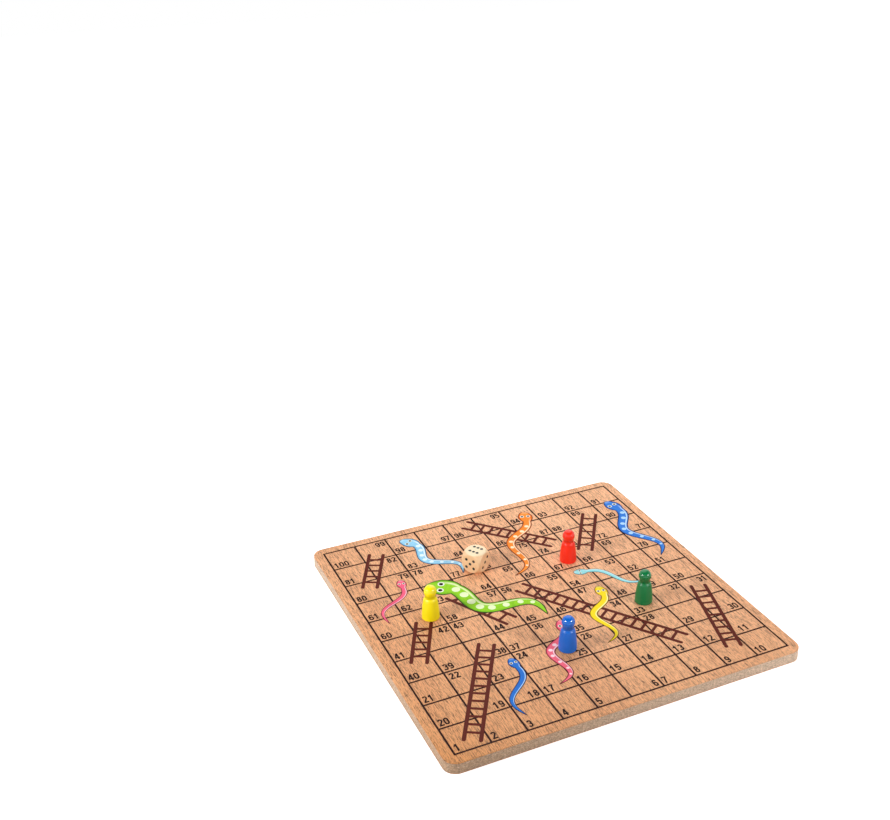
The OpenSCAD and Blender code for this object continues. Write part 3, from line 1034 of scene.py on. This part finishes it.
def plastic_finish(name, colour, axis, turn):
    finish = Finish(name, gloss=0.50)
    point = finish.millimetres(axis, math.radians(turn))
    x, _, z = finish.axes(point)
    flow = finish.noise(point, 2.5, 2.5, 9, detail=3.0)
    seam = 1 - finish.ease(abs(x), 0.03, 0.11)
    worn = 1 - finish.ease(z, 0.3, 2.4)
    rub = finish.noise(point, 0.5, 0.5, 0.12, detail=3.0)
    polish = finish.ease(z, 15.4, 17.0)
    # Painted shade: a dark band under the chin, where the head shades the neck.
    painted_chin_shade = 1 - finish.ease(abs(z - CHIN_UP), 0.4, 1.2)
    finish.set(base_color=finish.tint(colour, (0.95 + flow * 0.10) * (1 - painted_chin_shade * 0.25)),
               roughness=0.33 - polish * 0.25 + flow * 0.04 + worn * rub * 0.20,
               normal=finish.relief(seam * 0.6 + worn * rub * 0.2, 0.00004))
    return finish


profile = marks("pawn_outline", [(r * MM, 0, z * MM) for r, z in outline])
for colour, (square, seen, turn) in PAWNS.items():
    axis = on_board(*square, INK_TOP)
    plastic = plastic_finish(f"{colour}_plastic", shade(*seen), axis, turn)
    pawn = grow(f"pawn_{colour}_turned", lathe, profile.copy(), **{
        "Points": len(outline), "Steps Round": 97, "Axis": axis,
        "Plastic": plastic.material})
    pawn.data.set_sharp_from_angle(angle=math.radians(40))
    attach(pawn, f"{colour}_pawn")
    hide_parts(f"pawn_{colour}")

# %% [markdown]
# ## The die
# The die is a cube of pale wood, tumbled until its edges and corners are round, then
# drilled with a dimple for each pip. The CAD's solid has that shape, so it only needs its
# wood: fine streaks along the grain, speckle on the end grain and a waxed polish. Its top
# face is painted paler, as painted light from above.

# %% Die
die_low, die_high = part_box("die")
die_middle = (die_low + die_high) / 2
DIE_TURN = -57


def die_finish(middle):
    finish = Finish("die_wood", gloss=0.25)
    point = finish.millimetres(middle, math.radians(DIE_TURN))
    rings = finish.noise(point, 40, 2.2, 3.4)
    fine = finish.noise(point, 7, 0.35, 0.35, detail=3.0, rough=0.6)
    specks = finish.noise(point, 0.5, 0.28, 0.28)
    # Painted light: the top face is paler than the sides.
    painted_top_light = finish.ease(finish.axes(point)[2], 6.6, 7.5)
    colour = finish.blend(finish.ease(rings, 0.3, 0.7),
                          shade(242, 196, 150), shade(250, 210, 168))
    colour = finish.blend(painted_top_light, colour, shade(247, 226, 190))
    level = 0.98 + (fine - 0.5) * 0.16 + (specks - 0.5) * 0.06
    finish.set(base_color=finish.tint(colour, level), roughness=0.46 + fine * 0.10,
               normal=finish.relief(fine, 0.00005))
    return finish


dress("die", die_finish(die_middle))

enamel = Finish("pip_enamel")
brushed = enamel.noise(enamel.millimetres(die_middle), 0.6, 0.6, 0.6)
enamel.set(base_color=enamel.blend(brushed, shade(18, 15, 14), shade(34, 29, 26)),
           roughness=0.30 + brushed * 0.12, normal=enamel.relief(brushed, 0.00003))
dress("die_pips", enamel)

# %% [markdown]
# ## Table, light and backdrop
# The object was photographed on white, under soft boxes to the left and the right of the
# camera and a broad light overhead. Floor and world are white to the camera, and the floor
# still takes the object's soft shadow. Glossy surfaces mirror a white backdrop low down and
# a darker studio above it, which keeps a pale veil off the plastic. The floor is a sheet
# with an opening under the board, clear from its back, so that the underside can be seen.

# %% Floor and world
PAPER_REACH = 3000
UNDER = -0.02 * MM


def paper_sheet(opening):
    """A wide sheet just under the board, with an opening that the board covers."""
    sheet = bmesh.new()
    edge, wide = [], []
    for start, x, y in ((0, 1, 1), (90, -1, 1), (180, -1, -1), (270, 1, -1)):
        edge += bend(CORNER_REACH * x, CORNER_REACH * y, opening, opening, start, start + 90)
        wide.append((PAPER_REACH * x, PAPER_REACH * y))
    for loop in (edge, wide):
        corners = [sheet.verts.new((x * MM, y * MM, UNDER)) for x, y in loop]
        for ends in zip(corners, corners[1:] + corners[:1]):
            sheet.edges.new(ends)
    bmesh.ops.triangle_fill(sheet, use_beauty=True, edges=sheet.edges)
    sheet.normal_update()
    bmesh.ops.reverse_faces(sheet, faces=[face for face in sheet.faces if face.normal.z < 0])
    return plain_mesh("white_floor", sheet)


floor_mesh = paper_sheet(CORNER_RADIUS - 0.5)
floor = add_to_scene("white_floor", floor_mesh)
print("the floor has", len(floor_mesh.polygons), "faces")


def seen_directly(recipe):
    """1 for rays from the camera or a mirror image, 0 for light that only bounces."""
    direct = recipe.node("ShaderNodeLightPath", output="Is Camera Ray")
    for label in ("Is Glossy Ray", "Is Transmission Ray"):
        ray = recipe.node("ShaderNodeLightPath", output=label)
        direct = recipe.math("MAXIMUM", direct, ray)
    return direct


paper = Finish("white_paper", gloss=0.0)
paper_grain = paper.noise(paper.millimetres(), 3, 3, 3)
paper.set(base_color=paper.blend(paper_grain, shade(232, 232, 232), shade(236, 236, 236)),
          roughness=0.9, emission_strength=1.0)
# Painted light: the paper glows to camera and mirror rays, less near the board, where its shadow
# lies, and fully white far away.
away = paper.vector("LENGTH", paper.millimetres(), output="Value")
paper_glow = paper.blend(paper.ease(away, 150, 900), (0.78, 0.78, 0.78, 1), (1, 1, 1, 1))
paper.set(emission_color=paper.blend(seen_directly(paper), (0, 0, 0, 1), paper_glow))
from_under = paper.node("ShaderNodeNewGeometry", output="Backfacing")
covered = paper.node("ShaderNodeMixShader", {}, {
    0: from_under, 1: Term(paper, paper.shader.outputs[0]),
    2: paper.node("ShaderNodeBsdfTransparent")})
paper.feed(paper.tree.nodes["Material Output"].inputs["Surface"], covered)
floor_mesh.materials.append(paper.material)

world = bpy.data.worlds.new("white_studio")
world.use_nodes = True
scene.world = world
sky = Recipe(world.node_tree)
soft = world.node_tree.nodes["Background"]
soft.inputs["Color"].default_value = (1, 1, 1, 1)
_, _, height = sky.axes(sky.node("ShaderNodeTexCoord", output="Generated"))
sky.feed(soft.inputs["Strength"], 0.9 - sky.ease(height, -0.1, 0.0) * 0.75)
backdrop = 1 - sky.ease(height, 0.40, 0.80) * 0.85
backdrop = sky.math("MAXIMUM", backdrop, sky.node("ShaderNodeLightPath"))
bright = sky.node("ShaderNodeBackground", {}, {"Color": (1, 1, 1, 1), "Strength": backdrop})
mixed = sky.node("ShaderNodeMixShader", {}, {0: seen_directly(sky),
                                            1: Term(sky, soft.outputs[0]), 2: bright})
sky.feed(world.node_tree.nodes["World Output"].inputs["Surface"], mixed)

# %% [markdown]
# ## Soft boxes
# Two small bright points on each pawn's head tell where the soft boxes stood: about 60
# degrees to each side of the camera and 28 degrees up. The left one is stronger, as the
# board's left edge is much lighter than its front. The overhead light stands over the
# board's far half, whose rows are brighter.

# %% Lights
def soft_box(name, place, size, power):
    lamp = bpy.data.lights.new(name, "AREA")
    lamp.size = size
    lamp.energy = power
    box = add_to_scene(name, lamp)
    box.location = place
    box.rotation_euler = (-box.location).to_track_quat("-Z", "Y").to_euler()
    box.visible_camera = False
    print(name, "at", tuple(round(v, 2) for v in place), "with", power, "W")


soft_box("left_soft_box", Vector((-0.607, -0.039, 0.318)), 0.13, 3.05)
soft_box("right_soft_box", Vector((0.359, -0.581, 0.356)), 0.13, 2.65)
soft_box("overhead_light", Vector((0.090, 0.160, 0.310)), 0.40, 0.88)
scene.view_settings.view_transform = "Standard"

# %% [markdown]
# ## Last cell
# The looks must not change the object's size.

# %% Last cell
import json
